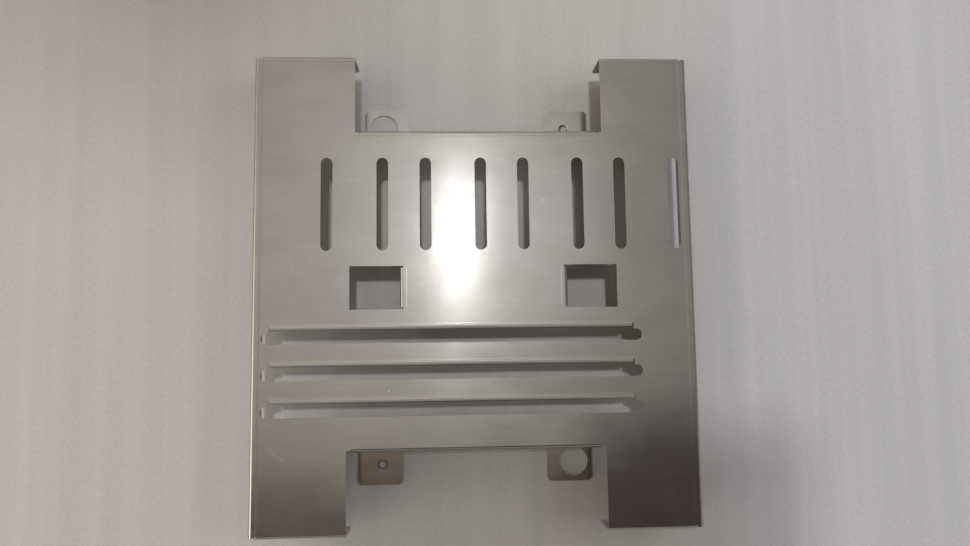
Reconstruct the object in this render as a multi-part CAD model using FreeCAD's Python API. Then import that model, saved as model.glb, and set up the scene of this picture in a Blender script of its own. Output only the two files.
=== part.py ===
import FreeCAD, Part
import os
from math import cos, radians, sin, tan

# Sheet-metal chassis: one blank of sheet, cut and folded. Millimetres, +Z up.
# X runs across the chassis, and +Y points to its back end.
# The origin is on the mounting plane, under the four ears, in the middle of the width and length.

Vector = FreeCAD.Vector
UP = Vector(0, 0, 1)
BACK, FRONT = 1, -1
LEFT, RIGHT = -1, 1

# Sheet and folds
sheet = 1.2                     # thickness of the sheet
bend_inner_radius = 1.2         # inside radius of every fold
slit = 0.8                      # cut that frees the end of a fold from the sheet beside it

# Overall size
width = 301.0                   # over the outer faces of the side walls
length = 324.6                  # over the outer faces of the end walls
height = 40.0                   # from the mounting plane to the top of the plate

# Walls that hang from the outer edges of the plate
wall_depth = 27.0               # from the top of the plate down to a wall's free edge
wall_corner_radius = 2.0
corner_gap = 5.0                # from a side wall's outer face to the end of an end wall
edge_setback = 1.2              # a plain edge beside a fold stands this far behind the fold's face

# Notches between the four wings, each closed by a tall flange
back_notch_left = -82.0
back_notch_right = 89.0
back_flange_face = 109.8
front_notch_left = -87.1
front_notch_right = 86.2
front_flange_face = -107.8
notch_corner = 3.2              # open corner between a wing and the end of the flange
flange_clearance = 3.0          # from the mounting plane to the flange's edge between its ears

# Ears folded outwards from the foot of each flange
ear_width = 32.0
ear_tip_spacing = 272.0         # over the tips of the back and front ears
ear_corner_radius = 3.5
hole_row_spacing = 244.2        # between the back and front rows of mounting holes
cable_hole_diameter = 21.0
cable_hole_inset = 13.5         # from an ear's outer edge to the large hole
screw_hole_diameter = 4.4
screw_hole_inset = 17.2         # from an ear's outer edge to the screw hole
countersink_diameter = 6.2
countersink_angle = 90.0
countersink_lip_radius = 1.0    # the countersink's rim rolls over into the ear

# Vents in the back half of the plate, in pairs
vent_length = 64.2
vent_width = 8.0
vent_pairs = 4
vent_gap_in_pair = 37.8         # between the two vents of a pair
vent_pair_pitch = 67.15
vent_row_x = 18.65
vent_row_y = 58.6

# Two windows, each with a tab folded down at the edge nearer the middle
window_pair_x = 5.7
window_y = 1.25
window_length = 29.5            # along Y
window_inner = 57.3             # from the middle of the pair to a tab's outer face
window_outer = 91.1             # from the middle of the pair to a window's far edge
tab_relief = 1.4                # between a tab's side and the window's edge
tab_depth = 30.0

# Long slots in the front half, each with a lip folded down at its back edge
slot_count = 3
slot_pitch = 24.25
slot_length = 256.9
slot_width = 7.8
slot_row_x = -15.6
slot_row_y = -56.55             # centre line of the middle slot
lip_length = 243.5
lip_offset = 5.15               # from a slot's centre line to the lip's outer face
lip_relief = 1.2                # between a lip's end and the sheet beside it
lip_depth = 10.0

# Worked out from the sizes above
bend_outer_radius = bend_inner_radius + sheet
half_width = width / 2
half_length = length / 2
# Down a notch's flange to where slits part the folds of its ears from its skirt.
web_depth = height - flange_clearance - 2 * bend_outer_radius
overshoot = 5.0                 # how far a cutting tool passes the sheet


def point(u, z):
    """A point of a fold's section: u is outwards from the fold line, z is up from the plate's top."""
    return Vector(u, 0, z)


def arc(centre_u, centre_z, radius, start, end):
    """An arc of a fold's section, from one angle in degrees to another."""
    ends_and_middle = []
    for angle in (start, (start + end) / 2, end):
        turn = radians(angle)
        ends_and_middle.append(point(centre_u + radius * cos(turn), centre_z + radius * sin(turn)))
    return Part.Arc(*ends_and_middle).toShape()


def line(start, end):
    return Part.makeLine(point(*start), point(*end))


def extruded(edges, strip_length):
    """A strip of one section, centred along its fold line."""
    strip = Part.Face(Part.Wire(edges)).extrude(Vector(0, strip_length, 0))
    strip.translate(Vector(0, -strip_length / 2, 0))
    return strip


def wall_strip(strip_length, depth):
    """A fold of a quarter turn with a plain wall hanging from it."""
    inner, outer = bend_inner_radius, bend_outer_radius
    return extruded([
        arc(0, -outer, outer, 90, 0),
        line((outer, -outer), (outer, -depth)),
        line((outer, -depth), (inner, -depth)),
        line((inner, -depth), (inner, -outer)),
        arc(0, -outer, inner, 0, 90),
        line((0, -sheet), (0, 0)),
    ], strip_length)


def leg_strip(strip_length, reach):
    """A leg down to the mounting plane, folded outwards there into an ear."""
    inner, outer = bend_inner_radius, bend_outer_radius
    foot = outer - height
    ear_fold = outer + inner
    return extruded([
        arc(0, -outer, outer, 90, 0),
        line((outer, -outer), (outer, foot)),
        arc(ear_fold, foot, inner, 180, 270),
        line((ear_fold, sheet - height), (reach, sheet - height)),
        line((reach, sheet - height), (reach, -height)),
        line((reach, -height), (ear_fold, -height)),
        arc(ear_fold, foot, outer, 270, 180),
        line((inner, foot), (inner, -outer)),
        arc(0, -outer, inner, 0, 90),
        line((0, -sheet), (0, 0)),
    ], strip_length)


def rounded(solid, radius, at_corner):
    """Round the edges whose two ends both lie at the corners that at_corner picks."""
    edges = [edge for edge in solid.Edges if all(at_corner(vertex.Point) for vertex in edge.Vertexes)
             and abs(edge.Vertexes[0].Point.y - edge.Vertexes[-1].Point.y) < sheet / 2]
    return solid.makeFillet(radius, edges)


def placed(solid, x, y, turn):
    """Move a strip from its own frame to the plate's edge; turn is where its outside points."""
    solid.rotate(Vector(0, 0, 0), UP, turn)
    solid.translate(Vector(x, y, height))
    return solid


def box(x_low, x_high, y_low, y_high, z_low, z_high):
    corner = Vector(min(x_low, x_high), min(y_low, y_high), z_low)
    return Part.makeBox(abs(x_high - x_low), abs(y_high - y_low), z_high - z_low, corner)


def plate_cutter(x_low, x_high, y_low, y_high):
    """A block that cuts a rectangle out of the plate."""
    return box(x_low, x_high, y_low, y_high, height - sheet - overshoot, height + overshoot)


def slot_cutter(x, y, slot_long, slot_wide, turn):
    """A block with round ends that cuts a slot out of the plate; turn is its direction."""
    half = (slot_long - slot_wide) / 2
    cutter = plate_cutter(-half, half, -slot_wide / 2, slot_wide / 2)
    for end in (-half, half):
        centre = Vector(end, 0, height - sheet - overshoot)
        cutter = cutter.fuse(Part.makeCylinder(slot_wide / 2, sheet + 2 * overshoot, centre))
    cutter.rotate(Vector(0, 0, 0), UP, turn)
    cutter.translate(Vector(x, y, 0))
    return cutter


def wall(strip_length, depth, x, y, turn):
    """A wall with two rounded corners, hung from the plate's edge; (x, y) is on its fold line."""
    strip = wall_strip(strip_length, depth)

    def at_corner(vertex):
        return abs(vertex.z + depth) < sheet / 2
    return placed(rounded(strip, wall_corner_radius, at_corner), x, y, turn)


def side_walls():
    """The two long walls, as long as the plate between its plain corner edges."""
    fold_x = half_width - bend_outer_radius
    wall_length = length - 2 * edge_setback
    return [
        wall(wall_length, wall_depth, -fold_x, 0, 180),
        wall(wall_length, wall_depth, fold_x, 0, 0),
    ]


def end_wall(end, side, notch_edge):
    """The short wall at the end of one wing, and the cut that makes room for its fold."""
    fold_y = end * (half_length - bend_outer_radius)
    outer_x = side * (half_width - corner_gap)
    middle_x = (outer_x + notch_edge) / 2
    solid = wall(abs(outer_x - notch_edge), wall_depth, middle_x, fold_y, 90 * end)
    room = plate_cutter(outer_x + side * slit, notch_edge, fold_y, end * (half_length + overshoot))
    return solid, room


def leg(end, side, flange_end, face):
    """One end of a notch's flange: a leg that reaches the mounting plane, with its ear and hole."""
    fold_y = face - end * bend_outer_radius
    reach = ear_tip_spacing / 2 - abs(fold_y)
    strip = leg_strip(ear_width, reach)

    def at_tip(vertex):
        return abs(vertex.x - reach) < sheet / 2
    middle_x = flange_end - side * ear_width / 2
    strip = placed(rounded(strip, ear_corner_radius, at_tip), middle_x, fold_y, 90 * end)
    hole_y = end * hole_row_spacing / 2
    if side == -end:
        return strip.cut(cable_hole(flange_end - side * cable_hole_inset, hole_y))
    return strip.cut(screw_hole(flange_end - side * screw_hole_inset, hole_y))


def cable_hole(x, y):
    return Part.makeCylinder(cable_hole_diameter / 2, sheet + 2 * overshoot, Vector(x, y, -overshoot))


def screw_hole(x, y):
    """A countersunk hole, turned about its axis: bore, cone, and a rim that rolls into the ear."""
    bore = screw_hole_diameter / 2
    cone = countersink_diameter / 2
    cone_depth = (cone - bore) / tan(radians(countersink_angle / 2))
    lip = countersink_lip_radius
    # The rim is an arc that meets the cone and the ear's top face without an edge.
    lip_angle = radians(90 - countersink_angle / 2)
    rim_drop = lip * (1 - cos(lip_angle))
    rim = cone + lip * sin(lip_angle)
    middle = lip_angle / 2
    foot = point(cone, sheet - rim_drop)
    crown = point(rim - lip * sin(middle), sheet - lip * (1 - cos(middle)))
    top = point(rim, sheet)
    edges = [
        line((0, -overshoot), (bore, -overshoot)),
        line((bore, -overshoot), (bore, sheet - rim_drop - cone_depth)),
        line((bore, sheet - rim_drop - cone_depth), (cone, sheet - rim_drop)),
        Part.Arc(foot, crown, top).toShape(),
        line((rim, sheet), (rim, sheet + overshoot)),
        line((rim, sheet + overshoot), (0, sheet + overshoot)),
        line((0, sheet + overshoot), (0, -overshoot)),
    ]
    cutter = Part.Face(Part.Wire(edges)).revolve(Vector(0, 0, 0), UP, 360)
    cutter.translate(Vector(x, y, 0))
    return cutter


def notch(end, left, right, face):
    """The tall flange across one notch with its two ears, and the cuts in the plate for them."""
    fold_y = face - end * bend_outer_radius
    flange_left = left + notch_corner
    flange_right = right - notch_corner
    inner_left = flange_left + ear_width + slit
    inner_right = flange_right - ear_width - slit
    skirt = wall_strip(inner_right - inner_left, height - flange_clearance)
    skirt = placed(skirt, (inner_left + inner_right) / 2, fold_y, 90 * end)
    web = wall_strip(flange_right - flange_left, web_depth)
    web = placed(web, (flange_left + flange_right) / 2, fold_y, 90 * end)
    legs = [leg(end, LEFT, flange_left, face), leg(end, RIGHT, flange_right, face)]
    far = end * (half_length + overshoot)
    rooms = [
        plate_cutter(left, right, face - end * edge_setback, far),
        plate_cutter(flange_left - slit, flange_right + slit, fold_y, far),
    ]
    return [skirt, web] + legs, rooms


def vents():
    """Cutters for the vents, a pair at a time."""
    cutters = []
    for pair in range(vent_pairs):
        pair_x = vent_row_x + (pair - (vent_pairs - 1) / 2) * vent_pair_pitch
        for side in (LEFT, RIGHT):
            x = pair_x + side * vent_gap_in_pair / 2
            cutters.append(slot_cutter(x, vent_row_y, vent_length, vent_width, 90))
    return cutters


def window(side):
    """One window's cutter, and the tab folded down at its edge nearer the middle."""
    face_x = window_pair_x + side * window_inner
    fold_x = face_x - side * bend_outer_radius
    far_x = window_pair_x + side * window_outer
    opening = plate_cutter(fold_x, far_x, window_y - window_length / 2, window_y + window_length / 2)
    turn = 0 if side == RIGHT else 180
    tab = wall(window_length - 2 * tab_relief, tab_depth, fold_x, window_y, turn)
    return tab, opening


def lipped_slot(y):
    """One long slot's cutters, and the lip folded down along its back edge."""
    face_y = y + lip_offset
    fold_y = face_y + bend_outer_radius
    half_room = lip_length / 2 + lip_relief
    openings = [
        slot_cutter(slot_row_x, y, slot_length, slot_width, 0),
        plate_cutter(slot_row_x - half_room, slot_row_x + half_room, y, fold_y),
    ]
    lip = wall(lip_length, lip_depth, slot_row_x, fold_y, -90)
    return lip, openings


def chassis():
    """The whole folded sheet as one solid."""
    folds = side_walls()
    rooms = vents()
    notches = (
        (BACK, back_notch_left, back_notch_right, back_flange_face),
        (FRONT, front_notch_left, front_notch_right, front_flange_face),
    )
    for end, left, right, face in notches:
        for side, notch_edge in ((LEFT, left), (RIGHT, right)):
            solid, room = end_wall(end, side, notch_edge)
            folds.append(solid)
            rooms.append(room)
        solids, cuts = notch(end, left, right, face)
        folds.extend(solids)
        rooms.extend(cuts)
    for side in (LEFT, RIGHT):
        tab, opening = window(side)
        folds.append(tab)
        rooms.append(opening)
    for row in range(slot_count):
        y = slot_row_y + (row - (slot_count - 1) / 2) * slot_pitch
        lip, openings = lipped_slot(y)
        folds.append(lip)
        rooms.extend(openings)
    fold_x = half_width - bend_outer_radius
    plain_y = half_length - edge_setback
    plate = box(-fold_x, fold_x, -plain_y, plain_y, height - sheet, height)
    plate = plate.cut(rooms)
    whole = plate.fuse(folds).removeSplitter()
    return whole.Solids[0] if len(whole.Solids) == 1 else whole


os.makedirs("parts", exist_ok=True)
solid = chassis()
solid.exportStep("parts/chassis.step")
box_size = solid.BoundBox
print("chassis", len(solid.Solids), "solid, valid", solid.isValid(), "volume", round(solid.Volume), "mm3")
print("size", round(box_size.XLength, 2), round(box_size.YLength, 2), round(box_size.ZLength, 2))
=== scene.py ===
from math import cos, radians, sin

import bpy
from mathutils import Euler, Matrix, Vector


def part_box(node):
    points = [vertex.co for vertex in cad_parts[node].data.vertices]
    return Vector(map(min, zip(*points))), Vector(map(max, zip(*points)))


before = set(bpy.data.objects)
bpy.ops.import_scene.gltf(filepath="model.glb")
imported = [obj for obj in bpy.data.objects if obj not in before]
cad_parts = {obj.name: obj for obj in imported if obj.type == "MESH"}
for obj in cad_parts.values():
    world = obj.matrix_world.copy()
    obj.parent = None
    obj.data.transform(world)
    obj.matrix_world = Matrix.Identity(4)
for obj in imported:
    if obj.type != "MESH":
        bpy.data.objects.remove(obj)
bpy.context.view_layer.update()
scene = bpy.context.scene

# Metres, in the part's own frame: X across, Y to the back, Z up from the mounting plane.
HIGH_CORNER = Vector(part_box("chassis")[1])
HALF_WIDTH = HIGH_CORNER.x
HALF_LENGTH = HIGH_CORNER.y
PLATE_TOP = HIGH_CORNER.z
SHEET = 0.0012

# Places of the folds that the press marks, with their painted shade and painted highlight, run beside.
BACK_FLANGE = 0.1098
FRONT_FLANGE = -0.1078
BACK_NOTCH = (-0.0820, 0.0890)
FRONT_NOTCH = (-0.0871, 0.0862)
TAB_FACES = (-0.0516, 0.0630)
TAB_SPAN = (-0.0121, 0.0146)
LIP_FACES = (-0.07565, -0.0514, -0.02715)
LIP_SPAN = (-0.13735, 0.10615)

# Press marks beside the folds, some darkened with painted shade and some lightened with painted highlight
# where the fold starts to curve: from a fold's face to the middle of the line, and the line's reach to each
# side.
LEFT_MARK = (0.0052, 0.0013)
RIGHT_MARK = (0.0056, 0.0009)
BACK_MARK = (0.0034, 0.0009)
BACK_FLANGE_MARK = (0.0036, 0.0009)
# Painted shade along the front flange's bend, where it mirrors the shaded floor.
FRONT_FLANGE_SHADE = (0.0004, 0.0013)
LIP_MARK = (0.0037, 0.0009)
TAB_MARK = (0.0044, 0.0009)

# Painted highlight along the bend of each lip: from the lip's face to its middle, and its faint and full
# half widths.
LIP_HIGHLIGHT_MIDDLE = 0.0016
LIP_HIGHLIGHT_FAINT = 0.0015
LIP_HIGHLIGHT_FULL = 0.0007

# Marks on the sheet. Scratches: middle X and Y, direction in degrees, length and how bright.
SCRATCHES = ((-0.1343, -0.1071, -41, 0.0131, 0.8), (-0.1246, 0.0182, -71.5, 0.0108, 0.8),
             (-0.1115, 0.0205, -66, 0.0075, 0.35), (0.0655, 0.0300, 24, 0.0090, 0.25),
             (0.1270, -0.0350, 83, 0.0120, 0.25), (0.0200, -0.0960, 12, 0.0100, 0.3))
SCRATCH_WIDTH = 0.0003
# Bright spots: X, Y, radius and how bright.
SPOTS = ((-0.1293, -0.1114, 0.0009, 1.0), (-0.0688, 0.0310, 0.0009, 0.9), (-0.0588, -0.0678, 0.0009, 0.9),
         (0.1107, 0.0887, 0.0010, 0.8), (0.0470, 0.0607, 0.0034, 0.22), (0.0555, 0.0800, 0.0028, 0.14),
         (0.0180, 0.0890, 0.0045, 0.10), (-0.0700, 0.0620, 0.0030, 0.12))
# Very fine hairlines: direction in degrees, and how dense.
HAIRLINES = ((17, 1.0), (-38, 1.3), (74, 0.8))
# A face is part of a wall where its normal leans this far along X or Y.
WALL_LEAN = 0.7
# Keeps the direction across the grain from vanishing on a side wall, whose normal has neither Y nor Z.
NEVER_NOTHING = 0.05
# The rubbed rim of an edge, the depth of the relief, and what a height may miss a face by.
RUBBED_RADIUS = 0.0005
RELIEF_DEPTH = 0.00002
ROUNDING = 0.0001

# Colours of the sheet.
DULL_STEEL = (0.492, 0.482, 0.467, 1)
PALE_STEEL = (0.553, 0.546, 0.533, 1)
GRAIN_GREY = (0.42, 0.415, 0.40, 1)
# Painted shade: this grey darkens the press marks and the front flange's bend.
PRESSED_AND_SHADED_GREY = (0.22, 0.21, 0.20, 1)
# Painted reflection of dark brown surroundings on the front ears.
REFLECTED_BROWN = (0.27, 0.225, 0.175, 1)
TORN_GREY = (0.66, 0.65, 0.63, 1)
# Bare steel for rubbed edges, scratches and wiping lines, and painted highlight on the lip bends and light
# press marks.
BARE_STEEL_AND_HIGHLIGHT = (0.80, 0.79, 0.77, 1)

# Colours of the floor, warm on the left and cooler and a little brighter to the right of the chassis:
# painted light, standing in for warm light from the left and cool window light from the right.
WARM_FLOOR = ((0.337, 0.324, 0.323, 1), (0.422, 0.406, 0.403, 1))
COOL_FLOOR = ((0.345, 0.338, 0.368, 1), (0.446, 0.437, 0.473, 1))
FLOOR_TURNS_COOL = (0.15, 0.21)
FLOOR_SIZE = 8.0

# The camera hangs over the plate, a little in front of its middle, and looks almost straight down.
# Its lens and sensor are in millimetres, and its turns in degrees.
LENS = 27.204
SENSOR = 36.0
CAMERA_PLACE = Vector((-0.0177, -0.0374, 0.4958 + PLATE_TOP))
CAMERA_TURN = (5.55, -2.69, -0.81)

# The lamp hangs behind the middle of the plate, almost overhead. Its highlight in the sheet has a bright
# middle and a long faint tail.
LAMP_HEIGHT = 3
LAMP_SLOPE = Vector((0.001, 0.1775, 1.0))
LAMP_ANGLE = 3.6
LAMP_STRENGTH = 1.25
GLOW_SLOPE = Vector((0.006, 0.158, 1.0))
TAIL_SLOPE = Vector((0.018, 0.09, 1.0))

# The room as the sheet mirrors it: an even grey, and what lies in some directions. Each row holds the
# direction, the angles from it where the thing is full and gone, its colour, and how it joins the rest.
ROOM_GREY = (0.248, 0.249, 0.247, 1)
ROOM_LOBES = (((-0.62, 0.25, 1), 0, 75, (0.213, 0.175, 0.12), "ADD"),
              ((-1, 0, 0.8), 5, 35, (0.42, 0.37, 0.22), "ADD"),
              ((-1, -0.35, 0.75), 5, 30, (1.15, 1.08, 0.74), "ADD"),
              ((-0.15, 1, 0.7), 5, 35, (0.28, 0.25, 0.19), "ADD"),
              ((0, -1, 0.9), 5, 30, (0.10, 0.095, 0.09), "ADD"),
              ((0.045, 0.170, 1), 1, 12.5, (0.37, 0.38, 0.405), "ADD"),
              ((-0.07, 0.135, 1), 1, 17, (0.19, 0.187, 0.18), "ADD"),
              ((1, 0, 0.5), 10, 50, (0.27, 0.24, 0.22), "MIX"))

# The cards that shade the floor: left and right, front and back, and height.
SHADE_CARDS = (("small_card", (-0.11, 0.24), (-0.08, 0.075), 1.0),
               ("high_card", (-0.36, -0.07), (0.76, 1.6), 3.4))
CARD_GREY = (0.2, 0.2, 0.2, 1)
# The card that shows in the sheet, and where along X it turns from one brown to the other.
LARGE_CARD_CORNERS = ((-0.50, -0.75), (0.60, -0.75), (0.60, -0.12), (0.22, -0.16),
                      (0.16, -0.255), (-0.20, -0.25), (-0.50, -0.22))
LARGE_CARD_HEIGHT = 0.75
CARD_BROWN = (0.18, 0.155, 0.15, 1)
CARD_DARK_BROWN = (0.13, 0.105, 0.10, 1)
CARD_FADE = (-0.25, 0.25)


class Nodes:
    """Short ways to add and join shader nodes in one tree."""

    def __init__(self, tree):
        self.tree = tree
        tree.nodes.clear()

    def add(self, kind, inputs=None, **settings):
        node = self.tree.nodes.new(kind)
        for name, value in settings.items():
            setattr(node, name, value)
        for name, value in (inputs or {}).items():
            if isinstance(value, bpy.types.NodeSocket):
                self.tree.links.new(value, node.inputs[name])
            else:
                node.inputs[name].default_value = value
        return node

    def math(self, operation, first, second=0.0):
        return self.add("ShaderNodeMath", {0: first, 1: second}, operation=operation).outputs[0]

    def times(self, first, second):
        return self.math("MULTIPLY", first, second)

    def minus(self, first, second):
        return self.math("SUBTRACT", first, second)

    def unsigned(self, value):
        return self.math("ABSOLUTE", value)

    def above(self, value, limit):
        """One where the value is over the limit, and none elsewhere."""
        return self.math("GREATER_THAN", value, limit)

    def below(self, value, limit):
        """One where the value is under the limit, and none elsewhere."""
        return self.math("LESS_THAN", value, limit)

    def total(self, values):
        result = values[0]
        for value in values[1:]:
            result = self.math("ADD", result, value)
        return result

    def vector(self, operation, first, second):
        node = self.add("ShaderNodeVectorMath", {0: first, 1: second}, operation=operation)
        return node.outputs["Vector" if operation == "MULTIPLY" else "Value"]

    def ramp(self, value, start, end, low=0.0, high=1.0):
        return self.add("ShaderNodeMapRange", {0: value, 1: start, 2: end, 3: low, 4: high},
                        interpolation_type="SMOOTHSTEP").outputs[0]

    def mix(self, factor, first, second):
        """A mix of two numbers."""
        return self.add("ShaderNodeMix", {0: factor, 2: first, 3: second}).outputs[0]

    def colour(self, factor, first, second, blend="MIX"):
        """A mix of two colours."""
        return self.add("ShaderNodeMix", {0: factor, 6: first, 7: second},
                        data_type="RGBA", blend_type=blend).outputs[2]

    def noise(self, vector, detail, roughness=0.5):
        return self.add("ShaderNodeTexNoise", {"Vector": vector, "Scale": 1.0, "Detail": detail,
                                               "Roughness": roughness}).outputs[0]

    def stretched_noise(self, place, rates, detail, roughness=0.5):
        """Noise with that many blobs to a metre along X and along Y."""
        return self.noise(self.vector("MULTIPLY", place, (*rates, 1)), detail, roughness)

    def xyz(self, x=0.0, y=0.0, z=0.0):
        return self.add("ShaderNodeCombineXYZ", {0: x, 1: y, 2: z}).outputs[0]

    def split(self, vector):
        return self.add("ShaderNodeSeparateXYZ", {0: vector}).outputs

    def object_place(self):
        return self.add("ShaderNodeTexCoord").outputs["Object"]


def make_camera():
    data = bpy.data.cameras.new("camera")
    data.sensor_width = SENSOR
    data.lens = LENS
    camera = bpy.data.objects.new("camera", data)
    camera.location = CAMERA_PLACE
    camera.rotation_euler = Euler([radians(turn) for turn in CAMERA_TURN], "XYZ")
    scene.collection.objects.link(camera)
    scene.camera = camera


def add_light(name, data, place, target=(0, 0, 0)):
    """Hang a light at a place, turned towards a target."""
    light = bpy.data.objects.new(name, data)
    light.location = place
    light.rotation_euler = (Vector(target) - Vector(place)).to_track_quat("-Z", "Y").to_euler()
    scene.collection.objects.link(light)
    return light


def area_light(name, shape, size, watts):
    data = bpy.data.lights.new(name, "AREA")
    data.shape = shape
    data.size, data.size_y = size
    data.energy = watts
    return data


def make_highlight(name, slope, size, watts):
    """A lamp that only shows as a highlight."""
    light = add_light(name, area_light(name, "ELLIPSE", size, watts), slope * LAMP_HEIGHT)
    light.visible_diffuse = False


def make_lamp():
    """The lamp that lights the floor and casts the shadows, and the highlight it leaves in the sheet."""
    sun = bpy.data.lights.new("lamp", "SUN")
    sun.angle = radians(LAMP_ANGLE)
    sun.energy = LAMP_STRENGTH
    lamp = add_light("lamp", sun, LAMP_SLOPE * LAMP_HEIGHT)
    lamp.visible_glossy = False
    make_highlight("lamp_glow", GLOW_SLOPE, (0.16, 0.46), 1.1)
    make_highlight("lamp_tail", TAIL_SLOPE, (0.04, 1.15), 0.22)


def soft_light(name, place, size, watts, colour, target=(0, 0, 0)):
    """Soft light on dull surfaces, which the sheet doesn't mirror."""
    data = area_light(name, "RECTANGLE", size, watts)
    data.color = colour
    light = add_light(name, data, place, target)
    light.visible_glossy = False


def bounce_light(name, place, size, watts, colour):
    """Light that falls straight down on the floor under the plate, after bouncing about there."""
    soft_light(name, place, size, watts, colour, target=(place[0], place[1], 0))


def make_soft_lights():
    """A window on each side, and the light that finds its way under the plate."""
    soft_light("left_window", (-1.3, -0.3, 0.20), (1.2, 0.3), 12.5, (1.0, 0.96, 0.80))
    bounce_light("under_glow", (0.0, 0.085, 0.038), (0.12, 0.03), 0.004, (1.0, 0.97, 0.98))
    bounce_light("left_glow", (-0.128, -0.055, 0.030), (0.03, 0.06), 0.0017, (0.94, 1.0, 0.88))
    bounce_light("right_glow", (0.112, -0.086, 0.030), (0.03, 0.02), 0.0018, (1.0, 0.98, 0.94))
    soft_light("right_window", (1.5, 0.3, 1.2), (1.4, 1.4), 15.0, (0.90, 0.93, 1.0))


def make_world():
    world = bpy.data.worlds.new("room")
    world.use_nodes = True
    scene.world = world
    n = Nodes(world.node_tree)
    direction = n.add("ShaderNodeTexCoord").outputs["Generated"]
    light = n.add("ShaderNodeRGB").outputs[0]
    light.default_value = ROOM_GREY
    for towards, full, gone, tint, blend in ROOM_LOBES:
        nearness = n.vector("DOT_PRODUCT", direction, Vector(towards).normalized())
        lobe = n.ramp(nearness, cos(radians(gone)), cos(radians(full)))
        light = n.colour(lobe, light, (*tint, 1), blend)
    background = n.add("ShaderNodeBackground", {"Color": light, "Strength": 1.0})
    n.add("ShaderNodeOutputWorld", {0: background.outputs[0]})


def new_material(name):
    material = bpy.data.materials.new(name)
    material.use_nodes = True
    return material, Nodes(material.node_tree)


def line(n, distance, mark, side=1):
    """A soft line, at a mark's distance to one side of a face and with the mark's reach."""
    middle, reach = mark
    return n.ramp(n.unsigned(n.minus(distance, side * middle)), reach, 0.0)


def within(n, value, span):
    """One inside the span, and none outside it."""
    return n.times(n.above(value, span[0]), n.below(value, span[1]))


def dark_press_marks_and_shade(n, x, y):
    """The folding tools' dark lines beside the left, back and back flange folds, deepened with painted shade
    where the folds start to curve.
    """
    left = line(n, n.math("ADD", x, HALF_WIDTH), LEFT_MARK)
    back = line(n, n.minus(HALF_LENGTH, y), BACK_MARK)
    back_flange = line(n, n.minus(BACK_FLANGE, y), BACK_FLANGE_MARK)
    return n.total([n.times(left, 0.8), back, n.times(back_flange, within(n, x, BACK_NOTCH))])


def light_press_marks_and_highlight(n, x, y):
    """The folding tools' light lines beside the right fold, the lips and the tabs, brightened with painted
    highlight where the folds start to curve.
    """
    marks = [line(n, n.minus(HALF_WIDTH, x), RIGHT_MARK)]
    for face in LIP_FACES:
        marks.append(n.times(line(n, n.minus(y, face), LIP_MARK), within(n, x, LIP_SPAN)))
    for face, side in zip(TAB_FACES, (1, -1)):
        marks.append(n.times(line(n, n.minus(x, face), TAB_MARK, side), within(n, y, TAB_SPAN)))
    return n.total(marks)


def front_flange_painted_shade(n, x, y):
    """Painted shade: the dark line on the bend of the front flange, standing in for the shaded floor it
    mirrors.
    """
    return n.times(line(n, n.minus(y, FRONT_FLANGE), FRONT_FLANGE_SHADE), within(n, x, FRONT_NOTCH))


def painted_lip_highlights(n, x, y):
    """Painted highlight: the bend of each slot's lip is drawn bright and rougher, standing in for the light
    its curve catches.
    """
    bands = []
    for face in LIP_FACES:
        away = n.unsigned(n.minus(n.minus(y, face), LIP_HIGHLIGHT_MIDDLE))
        bands.append(n.ramp(away, LIP_HIGHLIGHT_FAINT, LIP_HIGHLIGHT_FULL))
    return n.times(n.total(bands), within(n, x, LIP_SPAN))


def scratch_marks(n, x, y):
    """The few scratches and bright spots that stand out on the flat."""
    marks = []
    for middle_x, middle_y, turn, length, strength in SCRATCHES:
        dx, dy = n.minus(x, middle_x), n.minus(y, middle_y)
        c, s = cos(radians(turn)), sin(radians(turn))
        run = n.math("ADD", n.times(dx, c), n.times(dy, s))
        side = n.minus(n.times(dy, c), n.times(dx, s))
        ends = n.ramp(n.unsigned(run), length / 2, length / 4, 0.0, strength)
        marks.append(n.times(ends, n.ramp(n.unsigned(side), SCRATCH_WIDTH, 0.0)))
    for spot_x, spot_y, radius, strength in SPOTS:
        away = n.vector("DISTANCE", n.xyz(x, y), (spot_x, spot_y, 0))
        marks.append(n.ramp(away, radius, 0.0, 0.0, strength))
    return n.total(marks)


def hairlines(n, blank, smears):
    """Very fine wiping lines, in patches."""
    lines = []
    for turn, rate in HAIRLINES:
        turned = n.add("ShaderNodeMapping", {"Vector": blank, "Rotation": (0, 0, radians(turn)),
                                             "Scale": (45 * rate, 1500 * rate, 1)}).outputs[0]
        lines.append(n.ramp(n.noise(turned, 1.0), 0.76, 0.80))
    return n.times(n.total(lines), n.ramp(smears, 0.45, 0.6))


def flat_blank(n, x, y, z, nx, ny):
    """A point's place on the flat blank: down a wall, the height stands for X or Y."""
    on_side = n.above(n.unsigned(nx), WALL_LEAN)
    on_end = n.above(n.unsigned(ny), WALL_LEAN)
    return n.xyz(n.mix(on_side, x, z), n.mix(on_end, y, z), 0.0)


def across_grain(n, ny, nz):
    """The direction across the grain: Y on the plate, and down the wall past a fold along X."""
    tilt = n.math("ADD", nz, NEVER_NOTHING)
    across = n.xyz(0.0, tilt, n.times(ny, -1.0))
    return n.add("ShaderNodeVectorMath", {0: across}, operation="NORMALIZE").outputs[0]


def cut_edges(n, z, nz):
    """Masks of the cut edges, and of the torn band that lies below the sheared one on each of them."""
    upright = n.below(n.unsigned(nz), 0.3)
    plate_rim = n.above(z, PLATE_TOP - SHEET - ROUNDING)
    foot_rim = n.below(z, SHEET)
    cut = n.times(upright, n.math("MAXIMUM", plate_rim, foot_rim))
    depth = n.math("FRACT", n.math("DIVIDE", z, SHEET))
    return cut, n.times(cut, n.ramp(depth, 0.75, 0.55))


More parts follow.
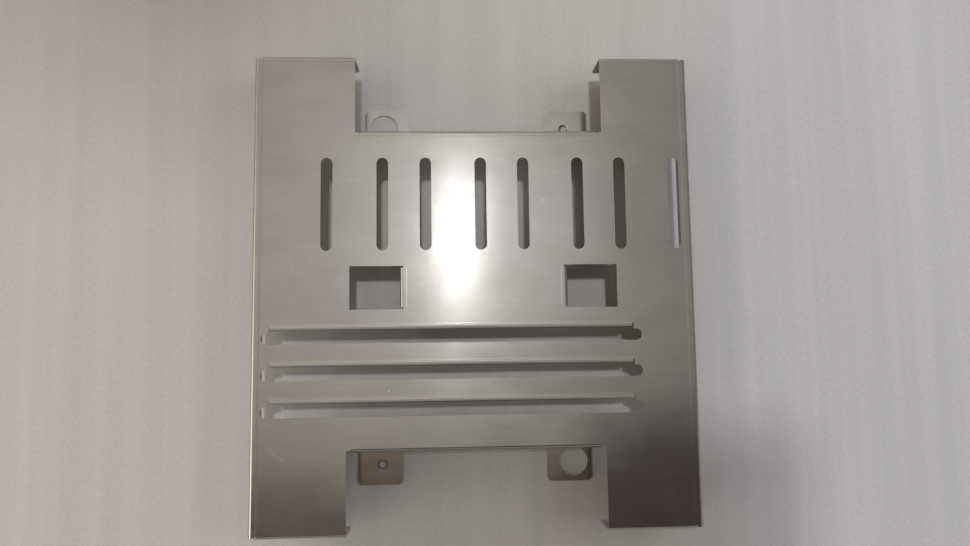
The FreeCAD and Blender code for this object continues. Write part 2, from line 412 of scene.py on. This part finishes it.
def worn_edges(n, normal, grain):
    """Sharp edges are rubbed bright, more in some places than in others."""
    rounded = n.add("ShaderNodeBevel", {"Radius": RUBBED_RADIUS}, samples=4).outputs[0]
    bend = n.vector("DOT_PRODUCT", rounded, normal)
    return n.times(n.ramp(bend, 0.985, 0.88), n.ramp(grain, 0.3, 0.7, 0.4, 1.0))


def ear_painted_reflection(n, x, y, z, smears):
    """Painted reflection: the front ears are tinted brown in patches, most of all the left one, standing in
    for the dark brown surroundings they mirror.
    """
    front_ears = n.times(n.below(z, 2 * SHEET), n.below(y, FRONT_FLANGE + SHEET))
    strength = n.math("ADD", n.ramp(smears, 0.3, 0.7, 0.35, 0.6), n.ramp(x, 0.0, -0.05, 0.0, 0.35))
    return n.times(front_ears, strength)


def steel():
    """Rolled sheet steel, its grain along X of the flat blank."""
    material, n = new_material("brushed_steel")
    x, y, z = n.split(n.object_place())
    normal = n.add("ShaderNodeNewGeometry").outputs["Normal"]
    nx, ny, nz = n.split(normal)
    blank = flat_blank(n, x, y, z, nx, ny)
    fine = n.stretched_noise(blank, (60, 2400), 3.0)
    grain = n.stretched_noise(blank, (25, 420), 4.0, 0.6)
    clouds = n.stretched_noise(blank, (14, 26), 4.0, 0.6)
    smears = n.stretched_noise(blank, (38, 60), 3.0)

    on_top = n.times(n.above(nz, 0.4), n.above(z, PLATE_TOP - SHEET))
    near_top = n.times(n.above(nz, -0.1), n.above(z, PLATE_TOP - 2 * SHEET))
    # Press marks: real marks, darkened with painted shade at the left and back folds, and lightened with
    # painted highlight at the right fold, lips and tabs.
    dark = n.times(dark_press_marks_and_shade(n, x, y), on_top)
    light = n.times(light_press_marks_and_highlight(n, x, y), on_top)
    # Painted shade on the front flange's bend.
    front = n.times(front_flange_painted_shade(n, x, y), near_top)
    # Painted highlight on the bends of the lips.
    lip_highlights = n.times(painted_lip_highlights(n, x, y), near_top)
    scratches = n.times(scratch_marks(n, x, y), on_top)
    wiped = hairlines(n, blank, smears)
    cut, torn = cut_edges(n, z, nz)
    wear = worn_edges(n, normal, grain)
    # Bright: painted highlight on the light press marks and lip bends, with rubbed edges, scratches and
    # wiping lines.
    bright = n.total([n.times(light, 0.30), n.times(lip_highlights, 0.9), n.times(wear, 0.5), scratches,
                      n.times(wiped, 0.12)])

    colour = n.colour(n.ramp(clouds, 0.3, 0.7), DULL_STEEL, PALE_STEEL)
    for strength, tint in ((n.ramp(grain, 0.25, 0.75, 0.0, 0.20), GRAIN_GREY),
                           # Press marks, deepened with painted shade.
                           (n.times(dark, 0.25), PRESSED_AND_SHADED_GREY),
                           # Painted shade on the front flange's bend.
                           (n.times(front, 0.8), PRESSED_AND_SHADED_GREY),
                           # Painted reflection on the front ears.
                           (ear_painted_reflection(n, x, y, z, smears), REFLECTED_BROWN),
                           (n.times(torn, 0.6), TORN_GREY),
                           (n.math("MINIMUM", bright, 1.0), BARE_STEEL_AND_HIGHLIGHT)):
        colour = n.colour(strength, colour, tint)
    roughness = n.total([n.ramp(clouds, 0.3, 0.7, 0.15, 0.175), n.ramp(smears, 0.35, 0.65, -0.005, 0.025),
                         n.times(dark, 0.08), n.times(wear, 0.10), n.times(lip_highlights, 0.25),
                         n.times(scratches, 0.2), n.times(cut, 0.16), n.times(torn, 0.2)])
    relief = n.total([fine, n.times(grain, 0.3), n.times(light, 1.5), n.times(dark, -1.5),
                      n.times(wiped, -0.4)])
    bump = n.add("ShaderNodeBump", {"Strength": 0.25, "Distance": RELIEF_DEPTH, "Height": relief}).outputs[0]
    shader = n.add("ShaderNodeBsdfPrincipled", {
        "Base Color": colour, "Metallic": 1.0, "Roughness": roughness, "Anisotropic": 0.6,
        "Normal": bump, "Tangent": across_grain(n, ny, nz)})
    n.add("ShaderNodeOutputMaterial", {0: shader.outputs[0]})
    return material


def floor_material():
    """A pale board with faint streaks along Y and a fine speckle, its colour turning cooler to the right as
    painted light.
    """
    material, n = new_material("floor")
    place = n.object_place()
    streaks = n.stretched_noise(place, (55, 1.2), 3.0, 0.6)
    speckle = n.stretched_noise(place, (700, 300), 3.0, 0.7)
    shade = n.math("ADD", n.ramp(streaks, 0.3, 0.7, 0.07, 0.43), n.ramp(speckle, 0.3, 0.7, 0.0, 0.5))
    warm = n.colour(shade, *WARM_FLOOR)
    cool = n.colour(shade, *COOL_FLOOR)
    # Painted light: the floor turns from warm to cool along X, as the light falling on it does.
    colour = n.colour(n.ramp(n.split(place)["X"], *FLOOR_TURNS_COOL), warm, cool)
    shader = n.add("ShaderNodeBsdfPrincipled", {"Base Color": colour, "Roughness": 0.55})
    n.add("ShaderNodeOutputMaterial", {0: shader.outputs[0]})
    return material


def make_floor():
    bpy.ops.mesh.primitive_plane_add(size=FLOOR_SIZE, location=(0, 0, 0))
    floor = bpy.context.object
    floor.name = "floor"
    floor.data.materials.append(floor_material())


def make_card(name, corners, height, colour, right_colour=None):
    """A dull level card that the camera never sees. Its colour may change towards its right end."""
    mesh = bpy.data.meshes.new(name)
    mesh.from_pydata([(*corner, height) for corner in corners], [], [range(len(corners))])
    card = bpy.data.objects.new(name, mesh)
    scene.collection.objects.link(card)
    material, n = new_material(name)
    if right_colour:
        to_right = n.ramp(n.split(n.object_place())["X"], *CARD_FADE)
        colour = n.colour(to_right, colour, right_colour)
    shader = n.add("ShaderNodeBsdfDiffuse", {"Color": colour})
    n.add("ShaderNodeOutputMaterial", {0: shader.outputs[0]})
    mesh.materials.append(material)
    card.visible_camera = False
    return card


def make_cards():
    """Two cards shade the floor and don't show in the sheet. The third only shows in its front half."""
    for name, (left, right), (front, back), height in SHADE_CARDS:
        corners = [(left, front), (right, front), (right, back), (left, back)]
        shade = make_card(name, corners, height, CARD_GREY)
        shade.visible_glossy = False
    mirrored = make_card("large_card", LARGE_CARD_CORNERS, LARGE_CARD_HEIGHT, CARD_BROWN, CARD_DARK_BROWN)
    mirrored.visible_shadow = False


make_camera()
make_floor()
make_cards()
make_lamp()
make_soft_lights()
make_world()
scene.view_settings.view_transform = "Standard"
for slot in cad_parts["chassis"].material_slots:
    slot.material = steel()
